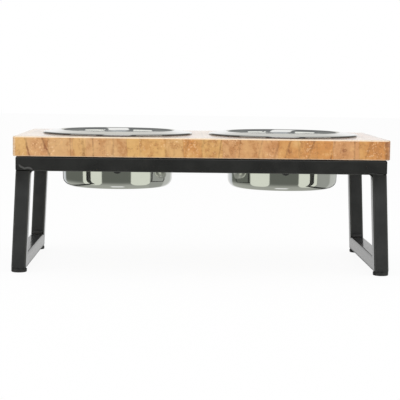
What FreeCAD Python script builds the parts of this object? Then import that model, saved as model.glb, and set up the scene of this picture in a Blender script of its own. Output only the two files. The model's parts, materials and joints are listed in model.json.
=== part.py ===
import FreeCAD, Part
import math
import os

# Raised feeder: a wooden top with two lift-out steel bowls on a welded square-tube stand.
# Millimetres. X runs along the top, Y from the front to the back, Z up from the floor.
# The origin is on the floor, under the middle of the top.

# Wooden top
board_length = 415.0
board_depth = 208.0
board_thickness = 22.2
board_top_height = 150.7
board_corner_radius = 4.0
board_edge_radius = 1.5
hole_edge_radius = 1.0

# Square tube of the stand
tube_size = 16.0
tube_wall = 1.2
tube_corner_radius = 2.0
frame_end_inset = 3.3
frame_side_inset = 0.5
leg_splay_degrees = 2.6
weld_size = 4.0

# Feet, pushed into the floor rails from below
foot_diameter = 17.2
foot_height = 4.0
foot_edge_radius = 1.0
foot_stem_diameter = 6.0
foot_stem_length = 8.0
foot_stem_chamfer = 0.8
foot_stem_clearance = 0.1

# Screws, up through the rails into the board
screw_spacing = 186.0
screw_diameter = 4.0
screw_head_diameter = 9.0
screw_head_height = 2.4
screw_bite = 14.0
screw_tip_length = 4.0
screw_drive_width = 1.1
screw_drive_length = 5.0
screw_drive_depth = 1.3
screw_rail_clearance = 0.25
screw_board_clearance = 0.05

# Bowls, pressed from sheet; the rim and the base are measured to the sharp corners of the food side
bowl_spacing = 194.0
flange_diameter = 174.0
rim_diameter = 131.4
rim_rise = 4.6
lip_height = 1.7
base_diameter = 126.2
bowl_depth = 65.6
sheet_thickness = 0.6
lip_radius = 1.2
rim_radius = 4.0
base_corner_radius = 9.4
dish_diameter = 88.0
dish_height = 1.2
dish_slope_width = 3.0
dish_radius = 3.0
bowl_seat_clearance = 0.3
bowl_hole_clearance = 3.0

# Levels and half sizes that follow from the sizes above
board_underside = board_top_height - board_thickness
rail_underside = board_underside - tube_size
frame_half_length = board_length / 2 - frame_end_inset
frame_half_depth = board_depth / 2 - frame_side_inset
rail_middle = tube_size / 2
splay = math.radians(leg_splay_degrees)
leg_length = (rail_underside - foot_height - rail_middle * math.sin(splay)) / math.cos(splay)
bowl_seat_height = board_top_height + bowl_seat_clearance
hole_radius = rim_diameter / 2 + sheet_thickness + bowl_hole_clearance

SIDES = {"left": -1, "right": 1}
ENDS = {"front": -1, "rear": 1}

vector = FreeCAD.Vector


def cut_beyond(shape, point, normal):
    """Shape without what lies past a plane, on the side that the normal points to."""
    reach = shape.BoundBox.DiagonalLength
    middle = shape.BoundBox.Center.projectToPlane(point, normal)
    block = Part.makeBox(2 * reach, 2 * reach, 2 * reach, vector(-reach, -reach, 0))
    block.Placement = FreeCAD.Placement(middle, FreeCAD.Rotation(vector(0, 0, 1), normal))
    return shape.cut(block)


def rounded_square(size, radius, origin, across, up):
    """Closed outline of a square with round corners, centred on an origin in a plane."""
    half = size / 2
    flat = half - radius
    bulge = flat + radius * math.sqrt(0.5)
    edges = []
    for out, along in ((across, up), (up, -across), (-across, -up), (-up, across)):
        side_start = origin + out * half - along * flat
        arc_start = origin + out * half + along * flat
        arc_middle = origin + out * bulge + along * bulge
        arc_end = origin + out * flat + along * half
        edges.append(Part.makeLine(side_start, arc_start))
        edges.append(Part.Arc(arc_start, arc_middle, arc_end).toShape())
    return Part.Wire(edges)


def square_tube(start, end, across, up):
    """Hollow square tube along its middle line, with spare length past both points for cutting."""
    along = (end - start).normalize()
    begin = start - along * tube_size
    outer = rounded_square(tube_size, tube_corner_radius, begin, across, up)
    inner_radius = max(tube_corner_radius - tube_wall, tube_wall / 4)
    inner = rounded_square(tube_size - 2 * tube_wall, inner_radius, begin, across, up)
    ring = Part.makeFace([outer, inner], "Part::FaceMakerBullseye")
    return ring.extrude(end - start + along * (2 * tube_size))


def weld_fillet(corner, first, second, run):
    """Concave bead in a corner between two faces, along a run."""
    a = corner + first * weld_size
    b = corner + second * weld_size
    middle = corner + (first + second) * (weld_size * (1 - math.sqrt(0.5)))
    edges = [Part.makeLine(corner, a), Part.Arc(a, middle, b).toShape(), Part.makeLine(b, corner)]
    return Part.Face(Part.Wire(edges)).extrude(run)


def screw_places():
    """Plan positions of the screws, on the middle lines of the front and rear rails."""
    reach = frame_half_depth - rail_middle
    return [(x * screw_spacing / 2, y * reach) for y in ENDS.values() for x in SIDES.values()]


def make_top_board():
    """Panel with eased edges, two bowl holes and pilot holes for the screws."""
    board = Part.makeBox(board_length, board_depth, board_thickness,
                         vector(-board_length / 2, -board_depth / 2, board_underside))
    upright = [e for e in board.Edges if abs(e.tangentAt(e.FirstParameter).z) > 0.5]
    board = board.makeFillet(board_corner_radius, upright)
    level = [e for e in board.Edges if e.BoundBox.ZLength < board_edge_radius / 2]
    board = board.makeFillet(board_edge_radius, level)
    for side in SIDES.values():
        centre = vector(side * bowl_spacing / 2, 0, board_underside)
        hole = Part.makeCylinder(hole_radius, board_thickness, centre)
        board = board.cut(hole)
    circles = [e for e in board.Edges if isinstance(e.Curve, Part.Circle)]
    rims = [e for e in circles if abs(e.Curve.Radius - hole_radius) < hole_edge_radius / 2]
    board = board.makeFillet(hole_edge_radius, rims)
    for x, y in screw_places():
        pilot = Part.makeCylinder(screw_diameter / 2 + screw_board_clearance, screw_bite,
                                  vector(x, y, board_underside))
        board = board.cut(pilot)
    return board


def make_long_rail(end):
    """Front or rear rail, mitred at both ends and drilled for the screws."""
    y = end * frame_half_depth
    middle_y = y - end * rail_middle
    level = rail_underside + rail_middle
    left = vector(-frame_half_length, middle_y, level)
    right = vector(frame_half_length, middle_y, level)
    rail = square_tube(left, right, vector(0, 1, 0), vector(0, 0, 1))
    for side in SIDES.values():
        rail = cut_beyond(rail, vector(side * frame_half_length, y, level), vector(side, -end, 0))
    for screw_x, screw_y in screw_places():
        passage = Part.makeCylinder(screw_diameter / 2 + screw_rail_clearance, tube_size,
                                    vector(screw_x, screw_y, rail_underside))
        rail = rail.cut(passage)
    return rail


def make_end_rail(side):
    """Short rail across one end of the top frame, mitred at both ends."""
    x = side * frame_half_length
    middle_x = x - side * rail_middle
    level = rail_underside + rail_middle
    front = vector(middle_x, -frame_half_depth, level)
    rear = vector(middle_x, frame_half_depth, level)
    rail = square_tube(front, rear, vector(1, 0, 0), vector(0, 0, 1))
    for end in ENDS.values():
        rail = cut_beyond(rail, vector(x, end * frame_half_depth, level), vector(-side, end, 0))
    return rail


class LegFrame:
    """One splayed leg frame: its own directions, and points measured from its top outer edge."""

    def __init__(self, side):
        self.inward = vector(-side * math.cos(splay), 0, -math.sin(splay))
        self.down = vector(side * math.sin(splay), 0, -math.cos(splay))
        self.top = vector(side * frame_half_length, 0, rail_underside)

    def at(self, inward, y, down):
        """Point at distances inward and down the frame from its top outer edge, and at a place along Y."""
        return self.top + self.inward * inward + self.down * down + vector(0, y, 0)

    def foot_seat(self, end):
        """Middle of the corner's underside, where a foot is pushed in."""
        return self.at(rail_middle, end * (frame_half_depth - rail_middle), leg_length)


def make_leg(side, end):
    """Leg tube, cut level under the top frame and mitred to the floor rail."""
    frame = LegFrame(side)
    y = end * frame_half_depth
    middle_y = y - end * rail_middle
    top = frame.at(rail_middle, middle_y, 0)
    bottom = frame.at(rail_middle, middle_y, leg_length)
    leg = square_tube(top, bottom, frame.inward, vector(0, 1, 0))
    leg = cut_beyond(leg, frame.at(rail_middle, y, leg_length), frame.down - vector(0, end, 0))
    return cut_beyond(leg, frame.top, vector(0, 0, 1))


def make_floor_rail(side):
    """Tube along the floor, mitred to both legs, with a hole for the stem of each foot."""
    frame = LegFrame(side)
    level = leg_length - rail_middle
    front = frame.at(rail_middle, -frame_half_depth, level)
    rear = frame.at(rail_middle, frame_half_depth, level)
    rail = square_tube(front, rear, frame.inward, frame.down)
    for end in ENDS.values():
        corner = frame.at(rail_middle, end * frame_half_depth, leg_length)
        rail = cut_beyond(rail, corner, vector(0, end, 0) - frame.down)
        hole = Part.makeCylinder(foot_stem_diameter / 2 + foot_stem_clearance, rail_middle,
                                 frame.foot_seat(end), -frame.down)
        rail = rail.cut(hole)
    return rail


def make_foot(side, end):
    """Round glide: level underneath, its top cut to the slope of the floor rail, with a push-in stem."""
    frame = LegFrame(side)
    seat = frame.foot_seat(end)
    pad = Part.makeCylinder(foot_diameter / 2, 2 * foot_height, vector(seat.x, seat.y, 0))
    floor_edge = [e for e in pad.Edges if e.BoundBox.ZMax < foot_height / 2]
    pad = pad.makeFillet(foot_edge_radius, floor_edge)
    pad = cut_beyond(pad, seat, -frame.down)
    stem = Part.makeCylinder(foot_stem_diameter / 2, foot_stem_length, seat, -frame.down)
    tip = seat - frame.down * foot_stem_length
    tip_edge = [e for e in stem.Edges if e.CenterOfMass.distanceToPoint(tip) < foot_stem_chamfer]
    stem = stem.makeChamfer(foot_stem_chamfer, tip_edge)
    return pad.fuse(stem).removeSplitter()


def make_screw(x, y):
    """Pan-head screw, its head under the rail and its point in the board."""
    shank = screw_diameter / 2
    head = screw_head_diameter / 2
    length = tube_size + screw_bite
    crown = vector(head * math.sqrt(0.5), 0, -screw_head_height * math.sqrt(0.5))
    edges = [
        Part.Arc(vector(0, 0, -screw_head_height), crown, vector(head, 0, 0)).toShape(),
        Part.makeLine(vector(head, 0, 0), vector(shank, 0, 0)),
        Part.makeLine(vector(shank, 0, 0), vector(shank, 0, length - screw_tip_length)),
        Part.makeLine(vector(shank, 0, length - screw_tip_length), vector(0, 0, length)),
        Part.makeLine(vector(0, 0, length), vector(0, 0, -screw_head_height)),
    ]
    screw = Part.Face(Part.Wire(edges)).revolve(vector(0, 0, 0), vector(0, 0, 1), 360)
    for size_x, size_y in ((screw_drive_length, screw_drive_width), (screw_drive_width, screw_drive_length)):
        corner = vector(-size_x / 2, -size_y / 2, -screw_head_height)
        screw = screw.cut(Part.makeBox(size_x, size_y, screw_drive_depth, corner))
    screw.translate(vector(x, y, rail_underside))
    return screw


def make_leg_top_welds():
    """Beads between each leg and the undersides of the two rails above it."""
    run = tube_size - 2 * tube_corner_radius
    flat_start = tube_size - tube_corner_radius
    beads = []
    for side in SIDES.values():
        frame = LegFrame(side)
        inner_x = frame.top.x - side * tube_size / math.cos(splay)
        start_x = frame.top.x - side * flat_start
        for end in ENDS.values():
            inner_y = end * (frame_half_depth - tube_size)
            start_y = end * (frame_half_depth - flat_start)
            inner_corner = vector(inner_x, start_y, rail_underside)
            beads.append(weld_fillet(inner_corner, vector(-side, 0, 0), frame.down, vector(0, end * run, 0)))
            back_corner = vector(start_x, inner_y, rail_underside)
            back_run = vector(side * run, 0, 0)
            beads.append(weld_fillet(back_corner, vector(0, -end, 0), vector(0, 0, -1), back_run))
    return beads


def make_frame_corner_welds():
    """Beads inside the four mitred corners of the top frame."""
    run = tube_size - 2 * tube_corner_radius
    beads = []
    for side in SIDES.values():
        for end in ENDS.values():
            corner = vector(side * (frame_half_length - tube_size), end * (frame_half_depth - tube_size),
                            rail_underside + tube_corner_radius)
            beads.append(weld_fillet(corner, vector(-side, 0, 0), vector(0, -end, 0), vector(0, 0, run)))
    return beads


def make_floor_corner_welds():
    """Beads inside the four mitred corners at the floor."""
    run = tube_size - 2 * tube_corner_radius
    beads = []
    for side in SIDES.values():
        frame = LegFrame(side)
        for end in ENDS.values():
            inner_y = end * (frame_half_depth - tube_size)
            corner = frame.at(tube_corner_radius, inner_y, leg_length - tube_size)
            beads.append(weld_fillet(corner, vector(0, -end, 0), -frame.down, frame.inward * run))
    return beads


def unit(a, b):
    """Direction from one profile point to the next."""
    length = math.hypot(b[0] - a[0], b[1] - a[1])
    return ((b[0] - a[0]) / length, (b[1] - a[1]) / length)


def corner_turn(points, i):
    """Angle that a profile turns by at a point, positive to the left."""
    before = unit(points[i - 1], points[i])
    after = unit(points[i], points[i + 1])
    cross = before[0] * after[1] - before[1] * after[0]
    dot = before[0] * after[0] + before[1] * after[1]
    return math.atan2(cross, dot)


def offset_profile(points, radii, distance):
    """Profile at a distance to the left of another one, with its corner radii."""
    ends = {0: unit(points[0], points[1]), len(points) - 1: unit(points[-2], points[-1])}
    moved = []
    moved_radii = []
    for i, (r, z) in enumerate(points):
        if i in ends:
            along = ends[i]
            moved.append((r - along[1] * distance, z + along[0] * distance))
            moved_radii.append(0)
            continue
        before = unit(points[i - 1], points[i])
        turn = corner_turn(points, i)
        slide = distance * math.tan(turn / 2)
        moved_r = r - before[1] * distance - before[0] * slide
        moved_z = z + before[0] * distance - before[1] * slide
        moved.append((moved_r, moved_z))
        moved_radii.append(radii[i] - math.copysign(distance, turn))
    return moved, moved_radii


def profile_line(start, end):
    """Straight edge between two profile points, in the XZ plane."""
    return Part.makeLine(vector(start[0], 0, start[1]), vector(end[0], 0, end[1]))


def profile_arc(start, middle, end):
    """Round edge through three profile points, in the XZ plane."""
    return Part.Arc(*[vector(r, 0, z) for r, z in (start, middle, end)]).toShape()


def rounded_profile(points, radii):
    """Edges through profile points, with an arc at each inner corner."""
    edges = []
    start = points[0]
    for i in range(1, len(points) - 1):
        r, z = points[i]
        turn = corner_turn(points, i)
        reach = radii[i] * math.tan(abs(turn) / 2)
        depth = radii[i] * (1 / math.cos(turn / 2) - 1)
        before = unit(points[i - 1], points[i])
        after = unit(points[i], points[i + 1])
        inward = unit(before, after)
        arc_start = (r - before[0] * reach, z - before[1] * reach)
        arc_middle = (r + inward[0] * depth, z + inward[1] * depth)
        arc_end = (r + after[0] * reach, z + after[1] * reach)
        edges.append(profile_line(start, arc_start))
        edges.append(profile_arc(arc_start, arc_middle, arc_end))
        start = arc_end
    edges.append(profile_line(start, points[-1]))
    return edges


def make_bowl(side):
    """Pressed bowl: turned-down lip, sloping flange, round rim, tapered wall and dished base."""
    base_level = rim_rise - bowl_depth
    dish_level = base_level + dish_height
    dish_edge = dish_diameter / 2
    food_side = [
        (flange_diameter / 2, 0),
        (flange_diameter / 2, lip_height),
        (rim_diameter / 2, rim_rise),
        (base_diameter / 2, base_level),
        (dish_edge, base_level),
        (dish_edge - dish_slope_width, dish_level),
        (0, dish_level),
    ]
    radii = [0, lip_radius, rim_radius, base_corner_radius, dish_radius, dish_radius, 0]
    underside, underside_radii = offset_profile(food_side, radii, sheet_thickness)
    section = rounded_profile(food_side, radii)
    section.append(profile_line(food_side[-1], underside[-1]))
    section += reversed(rounded_profile(underside, underside_radii))
    section.append(profile_line(underside[0], food_side[0]))
    bowl = Part.Face(Part.Wire(section)).revolve(vector(0, 0, 0), vector(0, 0, 1), 360)
    bowl.translate(vector(side * bowl_spacing / 2, 0, bowl_seat_height))
    return bowl


def all_parts():
    """Every node of the stand, by name."""
    parts = {"top_board": make_top_board()}
    for end_name, end in ENDS.items():
        parts[f"{end_name}_rail"] = make_long_rail(end)
        for side_name, side in SIDES.items():
            parts[f"{end_name}_{side_name}_leg"] = make_leg(side, end)
            parts[f"{end_name}_{side_name}_foot"] = make_foot(side, end)
    for side_name, side in SIDES.items():
        parts[f"{side_name}_end_rail"] = make_end_rail(side)
        parts[f"{side_name}_floor_rail"] = make_floor_rail(side)
        parts[f"{side_name}_bowl"] = make_bowl(side)
    parts["board_screws"] = Part.makeCompound([make_screw(x, y) for x, y in screw_places()])
    parts["leg_top_welds"] = Part.makeCompound(make_leg_top_welds())
    parts["frame_corner_welds"] = Part.makeCompound(make_frame_corner_welds())
    parts["floor_corner_welds"] = Part.makeCompound(make_floor_corner_welds())
    return parts


os.makedirs("parts", exist_ok=True)
for name, shape in all_parts().items():
    shape.exportStep(f"parts/{name}.step")
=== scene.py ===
import bpy
import json
import math
from mathutils import Matrix, Vector


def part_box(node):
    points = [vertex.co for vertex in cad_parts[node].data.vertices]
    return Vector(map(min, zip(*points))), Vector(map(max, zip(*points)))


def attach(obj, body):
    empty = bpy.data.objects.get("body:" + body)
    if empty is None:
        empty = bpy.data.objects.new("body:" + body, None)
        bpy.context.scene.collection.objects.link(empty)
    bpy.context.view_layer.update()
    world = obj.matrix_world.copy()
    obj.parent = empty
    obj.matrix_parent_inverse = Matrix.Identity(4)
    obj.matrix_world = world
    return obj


# Raised feeder with two steel bowls: finishes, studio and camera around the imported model.
# X runs along the wooden top, Y from the front to the back and Z up from the floor.
# Lengths are in metres where no heading names another unit, and colours are linear.

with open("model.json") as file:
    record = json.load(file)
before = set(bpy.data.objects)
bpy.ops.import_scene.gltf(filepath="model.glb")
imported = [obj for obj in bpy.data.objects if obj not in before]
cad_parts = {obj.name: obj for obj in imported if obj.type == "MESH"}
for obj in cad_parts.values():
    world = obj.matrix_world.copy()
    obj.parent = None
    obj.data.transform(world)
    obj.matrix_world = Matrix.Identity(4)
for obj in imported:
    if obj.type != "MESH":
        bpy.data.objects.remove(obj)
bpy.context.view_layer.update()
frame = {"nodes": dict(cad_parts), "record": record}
board_low, board_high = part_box("top_board")
rail_low, rail_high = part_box("front_rail")

# Camera, found from the edges of the object in the photograph
photo_width = 400.0
focal_length_pixels = 1277.4
film_width_millimetres = 36.0
camera_place = (-0.0308, -1.5029, 0.2157)
camera_yaw = math.radians(1.196)
camera_pitch_down = math.radians(5.427)
camera_roll = math.radians(0.758)

# Light and floor
white = (1.0, 1.0, 1.0)
room_light = (0.72, 0.72, 0.72)
floor_reach = 6.0
floor_white_share = 0.93
lamp_target = (0.0, 0.0, 0.1)
top_lamp_place = (0.0, -0.1, 1.4)
top_lamp_size = 1.2
top_lamp_level = 0.8
front_lamp_places = [(-1.0, -0.85, 0.35), (1.0, -0.85, 0.35)]
front_lamp_size = 1.0
front_lamp_level = 1.1
mirror_bounces = 12

# Studio that the steel mirrors, in degrees of a mirror's facing; a pair is a soft edge, its start then full
panel_inner_edge = (14.6, 15.8)
panel_outer_edge = (37.7, 36.5)
panel_top = (24.0, 17.0)
panel_foot = (-37.0, -33.0)
panel_middle = 26.2
panel_half_width = 11.3
panel_corner_rise = 18.0
panel_corner_power = 4
strip_side = (11.5, 9.5)
strip_foot = (7.0, 11.0)
strip_top = (62.0, 52.0)
dim_strip_side = (10.0, 6.0)
dim_strip_foot = (-1.0, 1.0)
dim_strip_top = (12.0, 8.0)
glint_side = (9.0, 5.0)
glint_foot = (-52.0, -48.0)
glint_top = (-40.0, -44.0)
horizon = (-0.5, 1.0)
near_floor_edge = (-8.0, -38.0)
right_side_edge = (36.5, 38.5)
right_floor_edge = (56.0, 60.0)
left_floor_edge = (-66.0, -70.0)
wall_edge = (36.0, 44.0)
ceiling_edge = (30.0, 50.0)

# White backdrop in that studio, by the Y and Z of a direction
backdrop_edge = (0.86, 0.93)
backdrop_foot = (-0.02, 0.05)
backdrop_top = (0.12, 0.27)

# Colours of that studio
far_floor_colour = (0.158, 0.170, 0.145)
near_floor_colour = (0.46, 0.475, 0.425)
right_side_colour = (0.40, 0.415, 0.38)
right_floor_colour = (0.62, 0.635, 0.60)
left_floor_colour = (0.73, 0.755, 0.775)
front_wall_colour = (0.24, 0.25, 0.255)
side_wall_colour = (0.30, 0.31, 0.305)
ceiling_colour = (0.22, 0.225, 0.23)
dim_strip_colour = (0.52, 0.55, 0.58)
low_panel_colour = (0.89, 0.925, 0.80)
high_panel_colour = (1.15, 1.165, 1.115)
strip_colour = (1.18, 1.18, 1.18)
backdrop_foot_colour = (0.87, 0.87, 0.865)
backdrop_colour = (0.99, 0.995, 1.0)
backdrop_top_colour = (0.74, 0.735, 0.70)

# Wooden top, in millimetres
millimetres = 1000.0
board_end = board_high.x * millimetres
board_face = board_high.y * millimetres
board_top = board_high.z * millimetres
board_foot = board_low.z * millimetres
stave_width = 21.0
stave_lean = 0.06
stave_sway = 2.5
stave_wander = 1.1
glue_joint_share = 0.035
ring_spacing = 6.5
ring_sway = 8.0
ring_shift_by_stave = 3.7
nearest_heart = 12.0
heart_spread = 30.0
heart_height_spread = 46.0
warmer_along = (-230.0, 200.0)
warmest_along = (90.0, 200.0)
grain_line_sway = 3.0
grain_line_raggedness = 1.6
knot_sway = 9.0
knot_raggedness = 7.0
knot_height_share = 0.35
knot_ring_rate = 8.0
knot_swirl = 9.0
lacquer_depth = 0.04
lacquer_weight = 0.9
lacquer_roughness = 0.13
wood_sheen = 0.3
wood_sheen_roughness = 0.3

# Sizes of the wood's figure along X, Y and Z, in millimetres
sway_size = (15.0, 170.0, 13.0)
blotch_size = (6.5, 220.0, 8.0)
patch_size = (17.0, 300.0, 24.0)
patch_shift = 680.0
pore_size = (1.6, 14.0, 1.6)
fibre_size = (0.7, 20.0, 0.7)
ragged_size = (3.2, 60.0, 3.2)
wander_length = 26.0
ring_length = 300.0
long_grain_length = 45.0
long_grain_height = 1.2

# Seeds of the random draws for each stave
heart_side_seed = 11.0
heart_reach_seed = 23.0
heart_height_seed = 37.0
latewood_seed = 5.0
warmth_seed = 71.0
rose_seed = 83.0
glue_joint_seed = 97.0

# Edges of the board, in millimetres from its outside: where each starts and where it is full
end_grain_reach = (8.0, 1.5)
# Painted highlights along the top and bottom edges of the front, back and ends
edge_highlight_reach = (1.8, 0.6)
top_edge_highlight_height = (1.8, 0.8)
low_edge_highlight_height = (1.5, 0.5)
# Painted highlight on the left end and painted shade on the right end
left_end_highlight_reach = (4.0, 1.5)
right_end_shade_reach = (3.5, 1.0)

# Knots of the board in millimetres: place along X, height and size
knots = [(-172.0, 140.5, 4.0), (96.0, 137.0, 3.5), (156.0, 139.0, 4.5), (203.0, 146.0, 5.0)]

# Dark lines of the grain in millimetres: X at the top and the foot of the front, width, then depth of colour
grain_lines = [
    (-195.0, -188.5, 1.5, 0.75),
    (-176.0, -166.0, 1.6, 0.60),
    (-144.6, -144.0, 0.9, 0.35),
    (-131.0, -130.0, 2.6, 0.45),
    (-119.6, -119.0, 1.2, 0.65),
    (-97.6, -97.0, 1.6, 0.40),
    (-67.0, -66.0, 1.8, 0.22),
    (-41.0, -39.5, 1.3, 0.30),
    (-15.0, -19.0, 2.2, 0.30),
    (1.5, -1.0, 1.8, 0.30),
    (21.5, 18.0, 1.3, 0.60),
    (42.0, 40.5, 1.2, 0.35),
    (66.5, 61.5, 1.4, 0.50),
    (85.0, 79.5, 1.8, 0.40),
    (98.0, 90.5, 1.6, 0.55),
    (124.5, 116.0, 1.8, 0.50),
    (146.5, 141.5, 1.6, 0.60),
    (168.5, 167.0, 1.4, 0.60),
    (186.0, 180.0, 1.4, 0.35),
    (203.5, 204.5, 4.0, 0.70),
]

# Colours of the wood
honey = (0.74, 0.43, 0.145)
amber = (0.66, 0.285, 0.075)
rose = (0.67, 0.38, 0.20)
chestnut = (0.50, 0.205, 0.058)
straw = (0.83, 0.50, 0.205)
latewood_colour = (0.45, 0.18, 0.05)
pale_pore_colour = (0.90, 0.63, 0.36)
dark_pore_colour = (0.28, 0.11, 0.035)
grain_line_colour = (0.24, 0.085, 0.022)
knot_colour = (0.30, 0.10, 0.03)
glue_joint_colour = (0.25, 0.10, 0.033)
# Colour of the painted highlight on the arrises
edge_highlight_colour = (0.96, 0.80, 0.60)
# Colours of the painted highlight on the left end and the painted shade on the right end, streaked by the
# long grain
left_end_highlight_colour = (0.80, 0.68, 0.55)
right_end_shade_colour = (0.30, 0.11, 0.05)
# Painted shade: near black wood in seams and under the bowl flanges
wood_painted_shade_colour = (0.03, 0.012, 0.004)

# Other finishes: colours from dark to light, scales of their noise per metre, and depths
coat_colours = ((0.014, 0.014, 0.0135), (0.021, 0.021, 0.020))
thin_coat_colours = ((0.035, 0.035, 0.034), (0.080, 0.080, 0.077))
# Painted light from the floor: the coat is lighter low on the legs and floor rails
coat_floor_light_colour = (0.048, 0.049, 0.049)
# Painted shade for the powder coat in seams and corners
coat_painted_shade_colour = (0.002, 0.0015, 0.001)
coat_floor_light_height = (0.116, 0.085)
coat_peel_scale = 1400.0
coat_peel_depth = 0.00001
coat_cloud_scale = 45.0
# Reach of the painted shade in the powder coat's seams
coat_shade_reach = 0.008
steel_colours = ((0.66, 0.665, 0.65), (0.72, 0.72, 0.705))
# Warm dark colour of the painted shade on the steel near the board
steel_painted_shade_colour = (0.11, 0.08, 0.06)
steel_smear_scale = 55.0
steel_turning_scale = 5200.0
steel_repeat_blur = 0.25
foot_colours = ((0.012, 0.012, 0.012), (0.022, 0.022, 0.022))
foot_grain_scale = 2600.0
foot_grain_depth = 0.00003
screw_colours = ((0.015, 0.015, 0.016), (0.04, 0.04, 0.042))
screw_wear_scale = 900.0
# Reach and samples of the ambient occlusion that paints shade into seams and contact lines
wide_shade_reach = 0.010
shade_samples = 6
screw_metal_share = 0.6

# Weld beads on the outer faces of the frame
bead_width = 0.0023
bead_rise = 0.00058
bead_sink = 0.0001
bead_ripple_pitch = 0.0016
bead_ripple_share = 0.18
bead_end_share = 0.125
bead_stations = 72
bead_section_points = 9

# Side and face of each bead, then its points: distance from the middle of the rail, height over its foot
beads = [
    (-1, -1, [(0.2008, 0.0072), (0.1985, 0.0048), (0.1942, 0.0027),
              (0.1912, 0.0036), (0.1885, 0.0033), (0.1852, 0.0015)]),
    (1, -1, [(0.2005, 0.0006), (0.1972, 0.0002), (0.1938, 0.0005),
             (0.1900, 0.0010), (0.1862, 0.0014), (0.1838, 0.0012)]),
    (-1, 1, [(0.2006, 0.0022), (0.1975, 0.0012), (0.1940, 0.0016),
             (0.1908, 0.0012), (0.1878, 0.0018), (0.1846, 0.0013)]),
    (1, 1, [(0.2004, 0.0015), (0.1970, 0.0019), (0.1936, 0.0010),
            (0.1906, 0.0014), (0.1874, 0.0010), (0.1848, 0.0014)]),
]


class Field:
    """A number that varies over a surface. Arithmetic on it adds the shader nodes that do the sum."""

    def __init__(self, tree, socket):
        self.tree = tree
        self.socket = socket

    def math(self, operation, *others):
        made = self.tree.nodes.new("ShaderNodeMath")
        made.operation = operation
        for place, value in zip(made.inputs, (self, *others)):
            connect(self.tree, value, place)
        return Field(self.tree, made.outputs[0])

    def __add__(self, other):
        return self.math("ADD", other)

    def __sub__(self, other):
        return self.math("SUBTRACT", other)

    def __mul__(self, other):
        return self.math("MULTIPLY", other)

    def __truediv__(self, other):
        return self.math("DIVIDE", other)

    def __pow__(self, other):
        return self.math("POWER", other)

    def __abs__(self):
        return self.math("ABSOLUTE")

    def inverse(self):
        """One minus the number."""
        return self.math("MULTIPLY_ADD", -1.0, 1.0)

    def smooth(self, start, full):
        """0 on one side of the start and 1 beyond the full value, with a smooth step between them."""
        made = self.tree.nodes.new("ShaderNodeMapRange")
        made.interpolation_type = "SMOOTHSTEP"
        connect(self.tree, self, made.inputs["Value"])
        connect(self.tree, start, made.inputs["From Min"])
        connect(self.tree, full, made.inputs["From Max"])
        return Field(self.tree, made.outputs["Result"])


def connect(tree, value, socket):
    """Link a field or a node's output to a socket, or set a plain value or a colour on it."""
    if isinstance(value, Field):
        tree.links.new(value.socket, socket)
    elif isinstance(value, bpy.types.NodeSocket):
        tree.links.new(value, socket)
    elif socket.type == "RGBA":
        socket.default_value = (*value, 1.0)
    else:
        socket.default_value = value


def add_node(tree, kind, inputs, **settings):
    """Add a shader node with its properties, and set or link its inputs."""
    made = tree.nodes.new("ShaderNode" + kind)
    for name, value in settings.items():
        setattr(made, name, value)
    for name, value in inputs.items():
        connect(tree, value, made.inputs[name])
    return made


def mix_colours(tree, share, first, second):
    """Colour between two colours, by a share from 0 to 1."""
    made = add_node(tree, "Mix", {}, data_type="RGBA")
    factor, first_colour, second_colour = made.inputs[0], made.inputs[6], made.inputs[7]
    connect(tree, share, factor)
    connect(tree, first, first_colour)
    connect(tree, second, second_colour)
    return made.outputs[2]


def joined(tree, x, y, z):
    """Vector from three numbers or fields."""
    return add_node(tree, "CombineXYZ", {"X": x, "Y": y, "Z": z}).outputs[0]


def object_axes(tree):
    """The three coordinates of a surface point, in metres."""
    place = add_node(tree, "TexCoord", {})
    parts = add_node(tree, "SeparateXYZ", {"Vector": place.outputs["Object"]})
    return [Field(tree, output) for output in parts.outputs]


def noise(tree, vector, scale, detail, roughness=0.5):
    """Soft noise from 0 to 1."""
    inputs = {"Vector": vector, "Scale": scale, "Detail": detail, "Roughness": roughness}
    return Field(tree, add_node(tree, "TexNoise", inputs).outputs["Fac"])


def surface_noise(tree, scale, detail):
    """Soft noise from 0 to 1 over the surface, alike in all directions."""
    return noise(tree, joined(tree, *object_axes(tree)), scale, detail)


def bump(tree, height, distance):
    """Normal from a height field, with its depth in metres."""
    return add_node(tree, "Bump", {"Height": height, "Distance": distance}).outputs["Normal"]


def openness(tree, reach):
    """1 in the open, falling towards 0 in seams and corners narrower than the reach; the finishes use it to
    paint shade.
    """
    made = add_node(tree, "AmbientOcclusion", {"Distance": reach}, samples=shade_samples)
    return Field(tree, made.outputs["AO"])


def new_material(name):
    """New node material, with its tree and its Principled shader."""
    material = bpy.data.materials.new(name)
    material.use_nodes = True
    return material, material.node_tree, material.node_tree.nodes["Principled BSDF"]


class Wood:
    """Fields of the wooden top that its layers of colour share, with X, Y and Z in millimetres."""

    def __init__(self, tree):
        self.tree = tree
        self.x, self.y, self.z = [axis * millimetres for axis in object_axes(tree)]
        self.height = self.z - 0.5 * (board_foot + board_top)
        self.sway = self.figure(sway_size, 3.0) - 0.5
        self.ragged = self.figure(ragged_size, 3.0) - 0.5
        self.blotch = self.figure(blotch_size, 4.0, 0.6)
        self.patch = self.figure(patch_size, 2.0, shift=patch_shift)
        wander = noise(tree, joined(tree, self.x / wander_length, 0.0, 0.0), 1.0, 0.0) - 0.5
        leaning = self.x + self.height * stave_lean + self.sway * stave_sway
        place = leaning / stave_width + wander * stave_wander
        self.stave = place.math("FLOOR")
        self.across = place.math("FRACT")
        off_left_joint = self.across.smooth(0.0, glue_joint_share)
        off_right_joint = self.across.smooth(1.0, 1.0 - glue_joint_share)
        self.off_joints = off_left_joint * off_right_joint

    def figure(self, size, detail, roughness=0.5, shift=0.0):
        """Noise from 0 to 1, with features of the given size along X, Y and Z."""
        place = joined(self.tree, (self.x + shift) / size[0], self.y / size[1], self.z / size[2])
        return noise(self.tree, place, 1.0, detail, roughness)

    def draw(self, seed):
        """Fixed random number from 0 to 1 for each stave."""
        made = add_node(self.tree, "TexWhiteNoise", {"W": self.stave + seed}, noise_dimensions="1D")
        return Field(self.tree, made.outputs["Value"])


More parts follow.
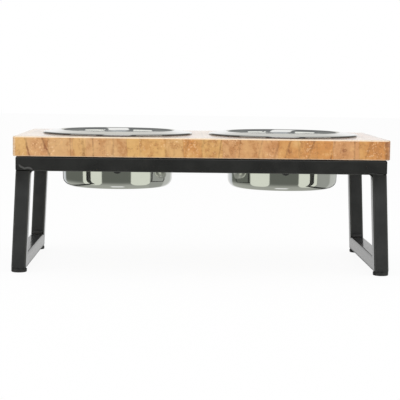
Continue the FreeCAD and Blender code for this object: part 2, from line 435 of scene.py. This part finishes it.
def latewood(wood):
    """Dark bands of the rings, around a heart of its own for each stave."""
    heart_side = (wood.draw(heart_side_seed) - 0.5).math("SIGN")
    heart = heart_side * (wood.draw(heart_reach_seed) * heart_spread + nearest_heart)
    ring_x = (wood.across - 0.5) * stave_width + heart
    ring_z = wood.height + (wood.draw(heart_height_seed) - 0.5) * heart_height_spread
    ring = (ring_x * ring_x + ring_z * ring_z).math("SQRT") + wood.sway * ring_sway
    shift = wood.stave * ring_shift_by_stave
    place = joined(wood.tree, ring / ring_spacing + shift, wood.y / ring_length, shift)
    band = noise(wood.tree, place, 1.0, 3.0, 0.6)
    return band.smooth(0.50, 0.66) * wood.draw(latewood_seed).smooth(0.0, 0.8)


def stave_colour(wood):
    """Tones of the staves: warmer to the right, some rosy, blotched, with bands of latewood."""
    tree = wood.tree
    warmth = wood.x.smooth(*warmer_along) * 0.55 + wood.x.smooth(*warmest_along) * 0.3
    warmth = warmth + (wood.draw(warmth_seed) - 0.5) * 0.7 + (wood.patch - 0.5) * 1.6
    rosiness = wood.draw(rose_seed).smooth(0.5, 0.8) * 0.5
    colour = mix_colours(tree, warmth.smooth(-0.1, 0.9), honey, amber)
    colour = mix_colours(tree, rosiness, colour, rose)
    colour = mix_colours(tree, wood.blotch.smooth(0.47, 0.68) * 0.7, colour, chestnut)
    colour = mix_colours(tree, wood.blotch.smooth(0.46, 0.28) * 0.6, colour, straw)
    return mix_colours(tree, latewood(wood) * 0.3, colour, latewood_colour)


def with_pores(wood, colour):
    """Pale and dark pores, the pale ones mostly on the end grain of the front and the back."""
    pores = wood.figure(pore_size, 1.0)
    end_grain = abs(wood.y).smooth(*inwards(board_face, end_grain_reach))
    pale = pores.smooth(0.38, 0.30) * wood.patch.smooth(0.45, 0.6) * (end_grain * 0.8 + 0.2)
    dark = pores.smooth(0.62, 0.70) * wood.blotch.smooth(0.45, 0.6)
    colour = mix_colours(wood.tree, pale * 0.7, colour, pale_pore_colour)
    return mix_colours(wood.tree, dark * 0.6, colour, dark_pore_colour)


def with_grain_lines(wood, colour):
    """Dark lines that lean across the front and run back over the top, fading in and out."""
    for line_top, line_foot, width, depth in grain_lines:
        lean = (line_top - line_foot) / (board_top - board_foot)
        middle = wood.height * lean + 0.5 * (line_top + line_foot)
        off = abs(wood.x - middle + wood.sway * grain_line_sway + wood.ragged * grain_line_raggedness)
        faded = off.smooth(width, 0.2 * width) * (wood.blotch.smooth(0.35, 0.58) * 0.7 + 0.3)
        colour = mix_colours(wood.tree, faded * depth, colour, grain_line_colour)
    return colour


def with_knots(wood, colour):
    """Small knots, taller than wide, with a ragged swirl."""
    for knot_x, knot_z, size in knots:
        off_x = wood.x - knot_x + wood.ragged * knot_raggedness
        off_z = wood.z - knot_z + wood.sway * knot_sway
        off = (off_x * off_x + off_z * off_z * knot_height_share).math("SQRT") / size
        swirl = (off * knot_ring_rate + wood.ragged * knot_swirl).math("SINE") * 0.5 + 0.5
        colour = mix_colours(wood.tree, off.smooth(1.2, 0.3) * (swirl * 0.6 + 0.2), colour, knot_colour)
    return colour


def inwards(outside, reach):
    """Start and full value of an edge that lies within a reach of the outside."""
    return outside - reach[0], outside - reach[1]


def with_edges(wood, colour):
    """Painted highlights on the arrises, and long grain on the two ends with a painted highlight on the left
    end and painted shade on the right.
    """
    tree = wood.tree
    front_or_back = abs(wood.y).smooth(*inwards(board_face, edge_highlight_reach))
    left_or_right = abs(wood.x).smooth(*inwards(board_end, edge_highlight_reach))
    rim = front_or_back.math("MAXIMUM", left_or_right)
    # Painted highlight: cream lines along the top arris and, fainter, the bottom arris
    top_edge_highlight = rim * wood.z.smooth(*inwards(board_top, top_edge_highlight_height))
    low_edge_highlight = rim * (wood.z * -1.0).smooth(*inwards(-board_foot, low_edge_highlight_height))
    colour = mix_colours(tree, top_edge_highlight * 0.95 + low_edge_highlight * 0.5, colour, edge_highlight_colour)
    place = joined(tree, 0.0, wood.y / long_grain_length + wood.sway, wood.z / long_grain_height)
    long_grain = noise(tree, place, 1.0, 4.0, 0.6).smooth(0.34, 0.68)
    # Long grain on both ends, with a painted highlight on the left end and painted shade on the right
    left_end = (wood.x * -1.0).smooth(*inwards(board_end, left_end_highlight_reach))
    right_end = wood.x.smooth(*inwards(board_end, right_end_shade_reach))
    colour = mix_colours(tree, left_end * (long_grain * 0.5 + 0.2), colour, left_end_highlight_colour)
    return mix_colours(tree, right_end * (long_grain * 0.6 + 0.25), colour, right_end_shade_colour)


def make_wood():
    """Glued staves that run from front to back: end grain on the front, long grain on top, clear lacquer."""
    material, tree, shader = new_material("lacquered_wood")
    wood = Wood(tree)
    colour = with_knots(wood, with_grain_lines(wood, with_pores(wood, stave_colour(wood))))
    glue_joint = wood.off_joints.inverse() * wood.draw(glue_joint_seed)
    colour = mix_colours(tree, glue_joint * 0.4, colour, glue_joint_colour)
    colour = with_edges(wood, colour)
    # Painted shade: the wood goes near black where the occlusion finds another part close by, as along the
    # bowl flanges and the rails
    unshaded = openness(tree, wide_shade_reach).smooth(0.35, 0.95)
    colour = mix_colours(tree, unshaded, wood_painted_shade_colour, colour)
    fibre = wood.figure(fibre_size, 2.0)
    relief = bump(tree, fibre * 0.5 + wood.off_joints, lacquer_depth / millimetres)
    connect(tree, colour, shader.inputs["Base Color"])
    connect(tree, fibre * 0.12 + 0.26, shader.inputs["Roughness"])
    connect(tree, relief, shader.inputs["Normal"])
    connect(tree, wood_sheen, shader.inputs["Sheen Weight"])
    connect(tree, wood_sheen_roughness, shader.inputs["Sheen Roughness"])
    connect(tree, lacquer_weight, shader.inputs["Coat Weight"])
    connect(tree, lacquer_roughness, shader.inputs["Coat Roughness"])
    return material


def make_powder_coat(name, tones):
    """Satin coat between two tones with a fine orange peel, a painted floor light that lightens it low down,
    and painted shade that turns it black in the seams.
    """
    material, tree, shader = new_material(name)
    height = object_axes(tree)[2]
    peel = surface_noise(tree, coat_peel_scale, 2.0)
    cloud = surface_noise(tree, coat_cloud_scale, 2.0)
    # Painted shade: black in seams and corners, from the occlusion
    unshaded = openness(tree, coat_shade_reach).smooth(0.55, 1.0)
    # Painted floor light: lighter towards the floor, in soft clouds
    floor_light = height.smooth(*coat_floor_light_height) * (cloud * 0.4 + 0.4)
    colour = mix_colours(tree, cloud.smooth(0.3, 0.7), *tones)
    colour = mix_colours(tree, floor_light, colour, coat_floor_light_colour)
    colour = mix_colours(tree, unshaded, coat_painted_shade_colour, colour)
    connect(tree, colour, shader.inputs["Base Color"])
    # The painted shade also makes the seams rougher and less glossy
    connect(tree, peel * 0.05 + 0.17 + unshaded.inverse() * 0.5, shader.inputs["Roughness"])
    connect(tree, unshaded * 0.5, shader.inputs["Specular IOR Level"])
    connect(tree, bump(tree, peel, coat_peel_depth), shader.inputs["Normal"])
    return material


def make_steel():
    """Polished stainless steel with faint marks of the spinning polish, blurred repeated reflections, and
    painted shade where it comes close to the board.
    """
    material, tree, shader = new_material("polished_steel")
    height = object_axes(tree)[2]
    smear = surface_noise(tree, steel_smear_scale, 3.0)
    turning = noise(tree, joined(tree, 0.0, 0.0, height), steel_turning_scale, 2.0)
    # Painted shade: darker steel where the occlusion finds the board or another part close by, as at the
    # flange's lip
    unshaded = openness(tree, wide_shade_reach).smooth(0.5, 0.95)
    repeats = Field(tree, add_node(tree, "LightPath", {}).outputs["Glossy Depth"])
    blur = repeats.smooth(0.0, 2.0) * steel_repeat_blur
    colour = mix_colours(tree, smear, *steel_colours)
    colour = mix_colours(tree, unshaded, steel_painted_shade_colour, colour)
    connect(tree, colour, shader.inputs["Base Color"])
    connect(tree, 1.0, shader.inputs["Metallic"])
    connect(tree, smear * 0.05 + turning * 0.03 + blur + 0.015, shader.inputs["Roughness"])
    return material


def make_foot_plastic():
    """Matt black moulded plastic with a fine spark-eroded grain."""
    material, tree, shader = new_material("foot_plastic")
    grain = surface_noise(tree, foot_grain_scale, 1.0)
    connect(tree, mix_colours(tree, grain, *foot_colours), shader.inputs["Base Color"])
    connect(tree, grain * 0.15 + 0.45, shader.inputs["Roughness"])
    connect(tree, bump(tree, grain, foot_grain_depth), shader.inputs["Normal"])
    return material


def make_screw_steel():
    """Black-finished steel."""
    material, tree, shader = new_material("screw_black")
    wear = surface_noise(tree, screw_wear_scale, 2.0)
    connect(tree, mix_colours(tree, wear, *screw_colours), shader.inputs["Base Color"])
    connect(tree, wear * 0.2 + 0.3, shader.inputs["Roughness"])
    connect(tree, screw_metal_share, shader.inputs["Metallic"])
    return material


def dress_nodes():
    """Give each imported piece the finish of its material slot, and return the finishes."""
    finishes = {
        "wood": make_wood(),
        "powder_coat": make_powder_coat("powder_coat_black", coat_colours),
        "bowl_steel": make_steel(),
        "foot": make_foot_plastic(),
        "screw": make_screw_steel(),
    }
    for part in frame["record"]["subparts"]:
        node = frame["nodes"][part["node"]]
        node.material_slots[0].material = finishes[part["material_slot"]]
    return finishes


def bead_route(path, across):
    """Stations along a bead: the share of the way and the place, eased from point to point."""
    route = []
    for step in range(bead_stations):
        share = step / (bead_stations - 1)
        spot = share * (len(path) - 1)
        first = min(int(spot), len(path) - 2)
        eased = (spot - first) ** 2 * (3 - 2 * (spot - first))
        x = path[first][0] + (path[first + 1][0] - path[first][0]) * eased
        z = path[first][1] + (path[first + 1][1] - path[first][1]) * eased
        route.append((share, Vector((across * x, 0.0, rail_low.z + z))))
    return route


def bead_vertices(route, facing):
    """Half-round sections along a bead, rippled, tapered at both ends, on the outer face of the rail."""
    face = max(abs(rail_low.y), abs(rail_high.y))
    vertices = []
    run = 0.0
    for step, (share, point) in enumerate(route):
        before = route[max(step - 1, 0)][1]
        after = route[min(step + 1, len(route) - 1)][1]
        run += (point - before).length
        along = (after - before).normalized()
        aside = Vector((-along.z, 0.0, along.x))
        taper = min(1.0, share / bead_end_share, (1.0 - share) / bead_end_share)
        ripple = 1.0 + bead_ripple_share * math.sin(2 * math.pi * run / bead_ripple_pitch)
        for part in range(bead_section_points):
            angle = math.pi * part / (bead_section_points - 1)
            offset = aside * (0.5 * bead_width * taper * ripple * math.cos(angle))
            rise = bead_rise * taper * ripple * math.sin(angle) - bead_sink
            vertices.append(point + offset + Vector((0.0, facing * (face + rise), 0.0)))
    return vertices


def bead_faces():
    """Four-sided faces between the sections of a bead."""
    faces = []
    for step in range(bead_stations - 1):
        for part in range(bead_section_points - 1):
            here = step * bead_section_points + part
            there = here + bead_section_points
            faces.append((here, here + 1, there + 1, there))
    return faces


def add_weld_beads(full_coat):
    """Rippled weld beads on the outer faces of the four upper corners; the coat is thin on the first one."""
    thin_coat = make_powder_coat("powder_coat_thin", thin_coat_colours)
    faces = bead_faces()
    for number, (across, facing, path) in enumerate(beads, 1):
        mesh = bpy.data.meshes.new("weld_bead")
        mesh.from_pydata(bead_vertices(bead_route(path, across), facing), [], faces)
        mesh.polygons.foreach_set("use_smooth", [True] * len(faces))
        mesh.validate()
        mesh.materials.append(thin_coat if number == 1 else full_coat)
        bead = bpy.data.objects.new("weld_bead_%d" % number, mesh)
        bpy.context.scene.collection.objects.link(bead)
        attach(bead, "stand")


def make_floor():
    """White floor that keeps a faint shadow under the object, and is clear from below."""
    corners = [(floor_reach * x, floor_reach * y, 0.0) for x, y in ((-1, -1), (1, -1), (1, 1), (-1, 1))]
    mesh = bpy.data.meshes.new("floor")
    mesh.from_pydata(corners, [], [(0, 1, 2, 3)])
    floor = bpy.data.objects.new("floor", mesh)
    bpy.context.scene.collection.objects.link(floor)
    material = bpy.data.materials.new("floor_white")
    material.use_nodes = True
    tree = material.node_tree
    tree.nodes.clear()
    path = add_node(tree, "LightPath", {})
    seen = Field(tree, path.outputs["Is Camera Ray"]).math("MAXIMUM", path.outputs["Is Transmission Ray"])
    paper = add_node(tree, "BsdfDiffuse", {"Color": white}).outputs[0]
    glow = add_node(tree, "Emission", {"Color": white, "Strength": 1.0}).outputs[0]
    upper = add_node(tree, "MixShader", {"Fac": seen * floor_white_share, 1: paper, 2: glow}).outputs[0]
    under = add_node(tree, "NewGeometry", {}).outputs["Backfacing"]
    clear = add_node(tree, "BsdfTransparent", {}).outputs[0]
    surface = add_node(tree, "MixShader", {"Fac": under, 1: upper, 2: clear}).outputs[0]
    add_node(tree, "OutputMaterial", {"Surface": surface})
    mesh.materials.append(material)
    floor.visible_glossy = False


def mirrored_studio(tree):
    """Colour of the studio that reflections show: dark, with lamps in front and a white backdrop behind.

    Each direction is named by the facing of a mirror that would send a look along +Y there: how far the
    mirror is turned to the right, and how far it is tipped up, both in degrees.
    """
    toward = add_node(tree, "TexCoord", {}).outputs["Generated"]
    x, y, z = [Field(tree, output) for output in add_node(tree, "SeparateXYZ", {"Vector": toward}).outputs]
    degrees = 180 / math.pi
    near = y.inverse()
    turn = x.math("ARCTAN2", near) * degrees
    tip = z.math("ARCTAN2", (x * x + near * near).math("SQRT")) * degrees
    side = abs(turn)
    above = tip.smooth(*horizon)

    corner = abs((side - panel_middle) / panel_half_width) ** panel_corner_power * panel_corner_rise
    panels = side.smooth(*panel_inner_edge) * side.smooth(*panel_outer_edge) * tip.smooth(*panel_top)
    panels = panels * tip.smooth(corner + panel_foot[0], corner + panel_foot[1])
    strip = side.smooth(*strip_side) * tip.smooth(*strip_foot) * tip.smooth(*strip_top)
    dim_strip = side.smooth(*dim_strip_side) * tip.smooth(*dim_strip_foot) * tip.smooth(*dim_strip_top)
    glint = side.smooth(*glint_side) * tip.smooth(*glint_foot) * tip.smooth(*glint_top)

    low_front = mix_colours(tree, tip.smooth(*near_floor_edge), far_floor_colour, near_floor_colour)
    low_right = mix_colours(tree, turn.smooth(*right_floor_edge), right_side_colour, right_floor_colour)
    low = mix_colours(tree, turn.smooth(*right_side_edge), low_front, low_right)
    low = mix_colours(tree, turn.smooth(*left_floor_edge), low, left_floor_colour)
    high = mix_colours(tree, side.smooth(*wall_edge), front_wall_colour, side_wall_colour)
    high = mix_colours(tree, tip.smooth(*ceiling_edge), high, ceiling_colour)
    studio = mix_colours(tree, above, low, high)
    studio = mix_colours(tree, dim_strip, studio, dim_strip_colour)
    panel_colour = mix_colours(tree, above, low_panel_colour, high_panel_colour)
    studio = mix_colours(tree, panels, studio, panel_colour)
    backdrop = mix_colours(tree, z.smooth(*backdrop_foot), backdrop_foot_colour, backdrop_colour)
    backdrop = mix_colours(tree, z.smooth(*backdrop_top), backdrop, backdrop_top_colour)
    studio = mix_colours(tree, y.smooth(*backdrop_edge), studio, backdrop)
    return mix_colours(tree, strip.math("MAXIMUM", glint), studio, strip_colour)


def make_world():
    """White for the camera, an even light on the object, and the studio in reflections."""
    world = bpy.data.worlds.new("studio")
    bpy.context.scene.world = world
    world.use_nodes = True
    tree = world.node_tree
    tree.nodes.clear()
    path = add_node(tree, "LightPath", {})
    seen = Field(tree, path.outputs["Is Camera Ray"]).math("MAXIMUM", path.outputs["Is Transmission Ray"])
    colour = mix_colours(tree, path.outputs["Is Glossy Ray"], room_light, mirrored_studio(tree))
    colour = mix_colours(tree, seen, colour, white)
    background = add_node(tree, "Background", {"Color": colour, "Strength": 1.0}).outputs[0]
    add_node(tree, "OutputWorld", {"Surface": background})


def add_lamp(name, place, size, level):
    """Square soft lamp that faces the object, with the brightness of its face."""
    data = bpy.data.lights.new(name, "AREA")
    data.shape = "SQUARE"
    data.size = size
    data.energy = level * math.pi * size * size
    lamp = bpy.data.objects.new(name, data)
    lamp.location = place
    lamp.rotation_euler = (Vector(lamp_target) - Vector(place)).to_track_quat("-Z", "Y").to_euler()
    lamp.visible_camera = False
    lamp.visible_glossy = False
    bpy.context.scene.collection.objects.link(lamp)


def add_camera():
    """Camera at the photograph's viewing angle."""
    forward = Vector((math.sin(camera_yaw) * math.cos(camera_pitch_down),
                      math.cos(camera_yaw) * math.cos(camera_pitch_down),
                      -math.sin(camera_pitch_down)))
    level_right = Vector((math.cos(camera_yaw), -math.sin(camera_yaw), 0.0))
    level_down = forward.cross(level_right)
    right = level_right * math.cos(camera_roll) - level_down * math.sin(camera_roll)
    down = level_right * math.sin(camera_roll) + level_down * math.cos(camera_roll)
    data = bpy.data.cameras.new("photo_camera")
    data.sensor_width = film_width_millimetres
    data.lens = film_width_millimetres * focal_length_pixels / photo_width
    camera = bpy.data.objects.new("photo_camera", data)
    turn = Matrix((right, -down, -forward)).transposed().to_4x4()
    camera.matrix_world = Matrix.Translation(camera_place) @ turn
    bpy.context.scene.collection.objects.link(camera)
    bpy.context.scene.camera = camera


finishes = dress_nodes()
add_weld_beads(finishes["powder_coat"])
make_floor()
make_world()
add_lamp("top_lamp", top_lamp_place, top_lamp_size, top_lamp_level)
for front_lamp_place in front_lamp_places:
    add_lamp("front_lamp", front_lamp_place, front_lamp_size, front_lamp_level)
add_camera()

bpy.context.scene.view_settings.view_transform = "Standard"
bpy.context.scene.cycles.glossy_bounces = mirror_bounces
